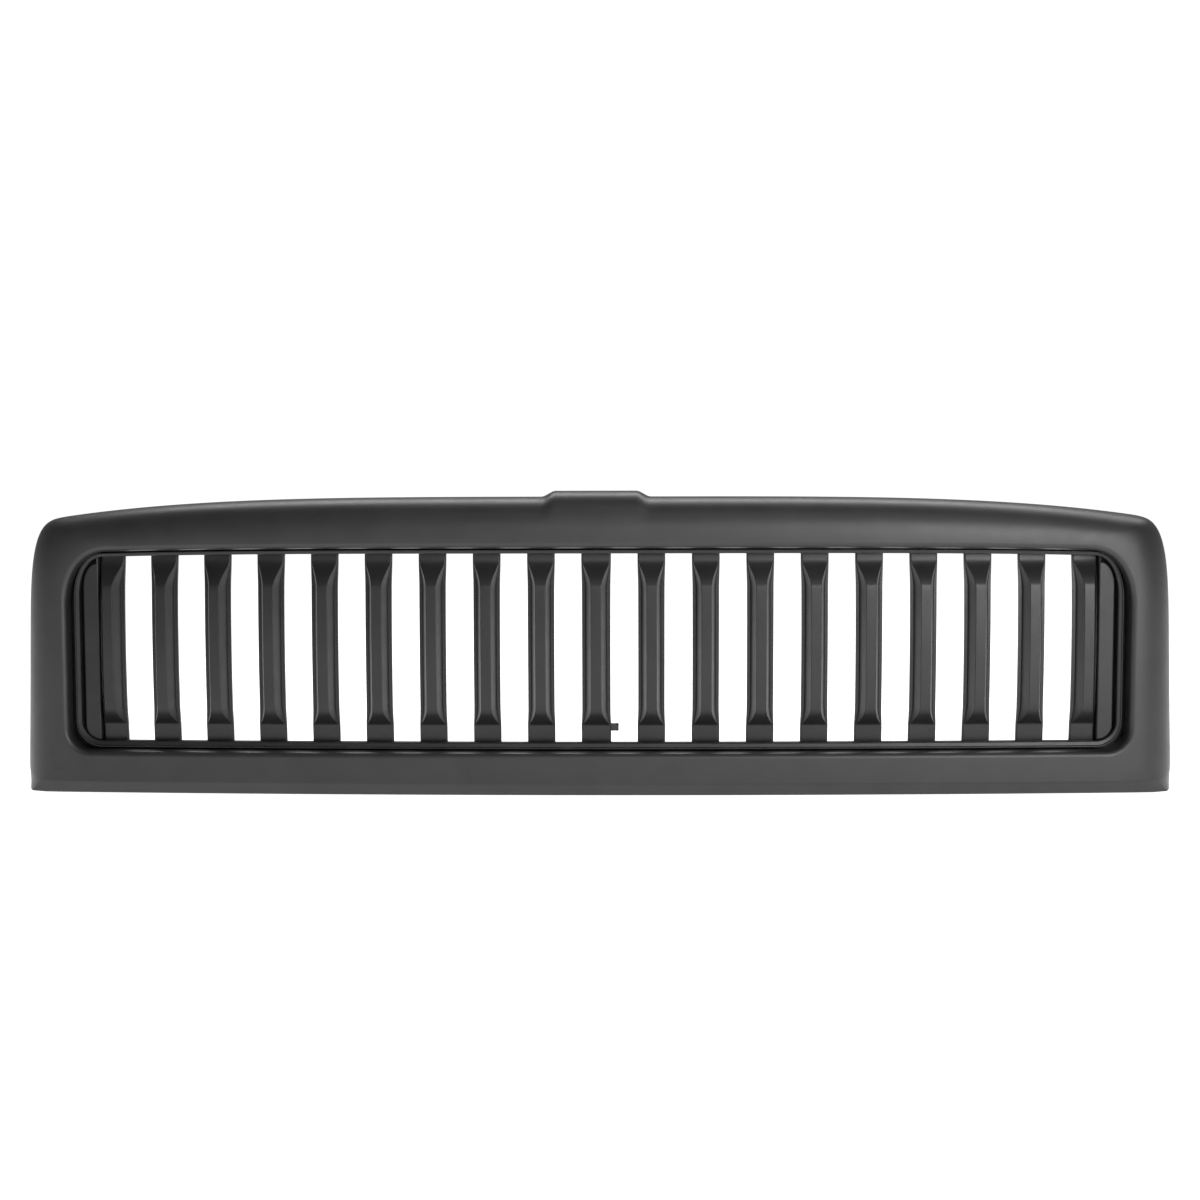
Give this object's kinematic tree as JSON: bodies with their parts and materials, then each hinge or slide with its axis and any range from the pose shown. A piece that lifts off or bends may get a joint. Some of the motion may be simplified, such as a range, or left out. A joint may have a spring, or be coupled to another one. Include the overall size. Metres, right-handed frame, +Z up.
{
  "type": "vehicle front grille",
  "caption": "Bowed pickup-truck front grille: a rounded surround shell round a recessed rim and a row of upright ridged bars, with rails, screws and brackets behind.",
  "frame": {"origin": "middle of the underside: mid width and mid depth of the whole part, at the height of the chin's lower edge", "axes": "+X to the right of someone who faces the grille, along its width; +Y back into the vehicle, so the front faces -Y; +Z up"},
  "size_m": [1.18, 0.106, 0.3065],
  "materials": {
    "surround_plastic": "satin black ABS with a fine moulded grain",
    "insert_plastic": "satin black ABS",
    "rail_plastic": "raw black moulded plastic",
    "zinc_fasteners": "zinc plated",
    "bracket_steel": "black e-coated pressed steel"
  },
  "bodies": {
    "root": {"surround_shell": "surround_plastic", "insert_rim": "insert_plastic", "bar_01": "insert_plastic", "bar_02": "insert_plastic", "bar_03": "insert_plastic", "bar_04": "insert_plastic", "bar_05": "insert_plastic", "bar_06": "insert_plastic", "bar_07": "insert_plastic", "bar_08": "insert_plastic", "bar_09": "insert_plastic", "bar_10": "insert_plastic", "bar_11": "insert_plastic", "bar_12": "insert_plastic", "bar_13": "insert_plastic", "bar_14": "insert_plastic", "bar_15": "insert_plastic", "bar_16": "insert_plastic", "bar_17": "insert_plastic", "bar_18": "insert_plastic", "bar_19": "insert_plastic", "end_panel_left": "insert_plastic", "end_panel_right": "insert_plastic", "upper_carrier": "rail_plastic", "lower_carrier": "rail_plastic", "upper_bar_screws": "zinc_fasteners", "lower_bar_screws": "zinc_fasteners", "insert_screws": "zinc_fasteners", "insert_nuts": "zinc_fasteners", "insert_spacers": "rail_plastic", "upper_bracket_1": "bracket_steel", "upper_bracket_2": "bracket_steel", "upper_bracket_3": "bracket_steel", "upper_bracket_4": "bracket_steel", "upper_bracket_5": "bracket_steel", "lower_bracket_1": "bracket_steel", "lower_bracket_2": "bracket_steel", "lower_bracket_3": "bracket_steel", "lower_bracket_4": "bracket_steel", "bracket_bolts": "zinc_fasteners", "bracket_nuts": "zinc_fasteners", "centre_clip": "rail_plastic"}
  },
  "joints": []
}
